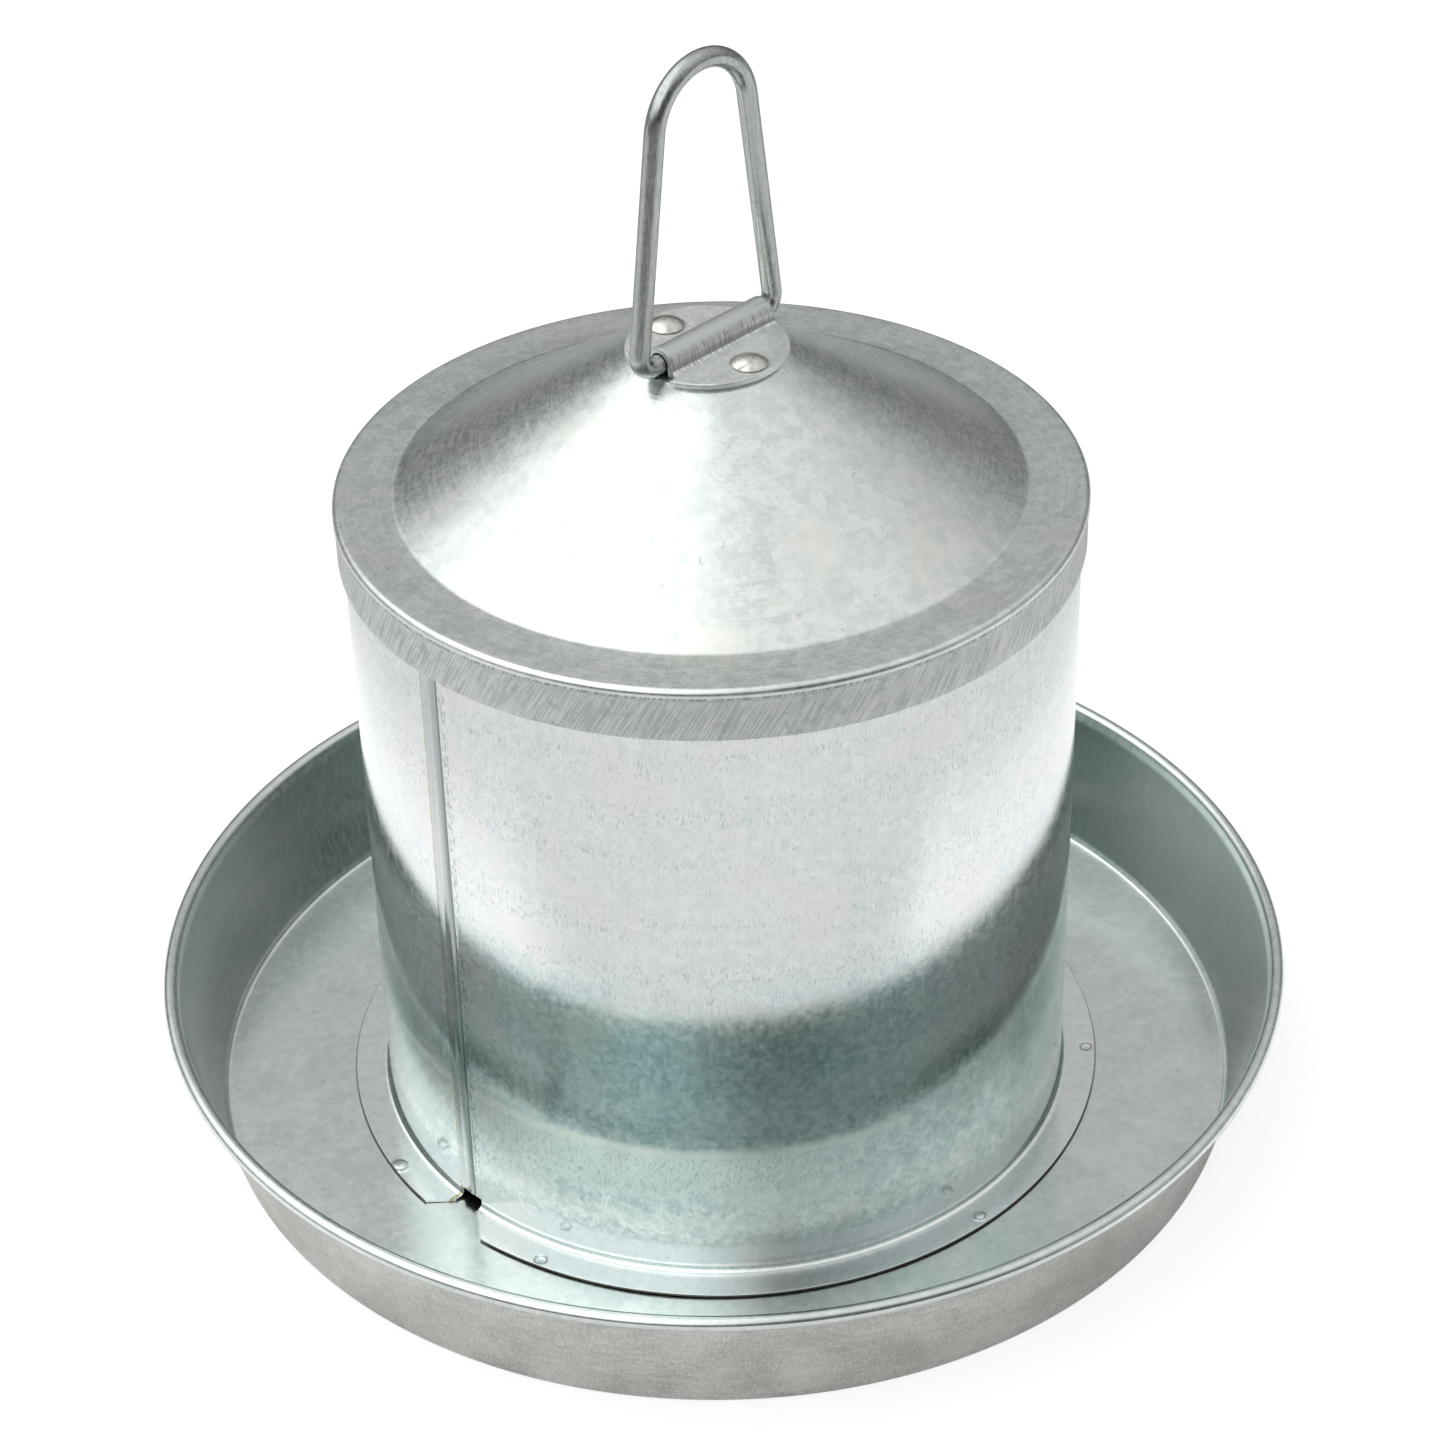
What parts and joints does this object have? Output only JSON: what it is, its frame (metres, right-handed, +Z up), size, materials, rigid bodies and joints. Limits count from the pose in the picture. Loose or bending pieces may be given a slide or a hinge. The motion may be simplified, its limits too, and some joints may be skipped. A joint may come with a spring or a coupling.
{
  "type": "poultry waterer fount",
  "caption": "Round galvanised steel poultry drinker: a flared open tray around an upright cylinder, with a low conical lid that lifts out together with its bell tank by a hinged wire bail.",
  "frame": {"origin": "centre of the tray's flat underside, on the floor", "axes": "+Z up along the tray's axis; -Y is the side seen in the picture; the bail's hinge runs at 45 degrees between +X and +Y"},
  "size_m": [0.3, 0.3, 0.2957],
  "materials": {
    "galvanised_sheet": "bright galvanised sheet, faint vertical mill lines and small spangle",
    "spun_sheet": "bright galvanised sheet with circular spinning marks",
    "hinge_plate": "satin zinc with pressing marks",
    "bail_wire": "satin zinc-plated wire with drawing lines",
    "rivet_metal": "smooth nickel-coloured, slightly warm",
    "washer_rubber": "matt black"
  },
  "bodies": {
    "base": {"tray": "galvanised_sheet", "outer_wall": "galvanised_sheet", "lock_keeper_1": "galvanised_sheet", "lock_keeper_2": "galvanised_sheet", "lock_keeper_3": "galvanised_sheet"},
    "tank": {"lid": "spun_sheet", "tank_wall": "galvanised_sheet", "hinge_plate": "hinge_plate", "rivet_1": "rivet_metal", "rivet_2": "rivet_metal", "rivet_washer_1": "washer_rubber", "rivet_washer_2": "washer_rubber", "lock_lug_1": "galvanised_sheet", "lock_lug_2": "galvanised_sheet", "lock_lug_3": "galvanised_sheet"},
    "bail": {"bail": "bail_wire"}
  },
  "joints": [
    {"name": "tank_lift", "type": "slide", "parent": "base", "child": "tank", "axis": [0, 0, 1], "range_m": [0, 0.19]},
    {"name": "bail_swing", "type": "hinge", "parent": "tank", "child": "bail", "pos_m": [0, 0, 0.22005], "axis": [0.7071, 0.7071, 0], "range_deg": [-105, 105]}
  ]
}
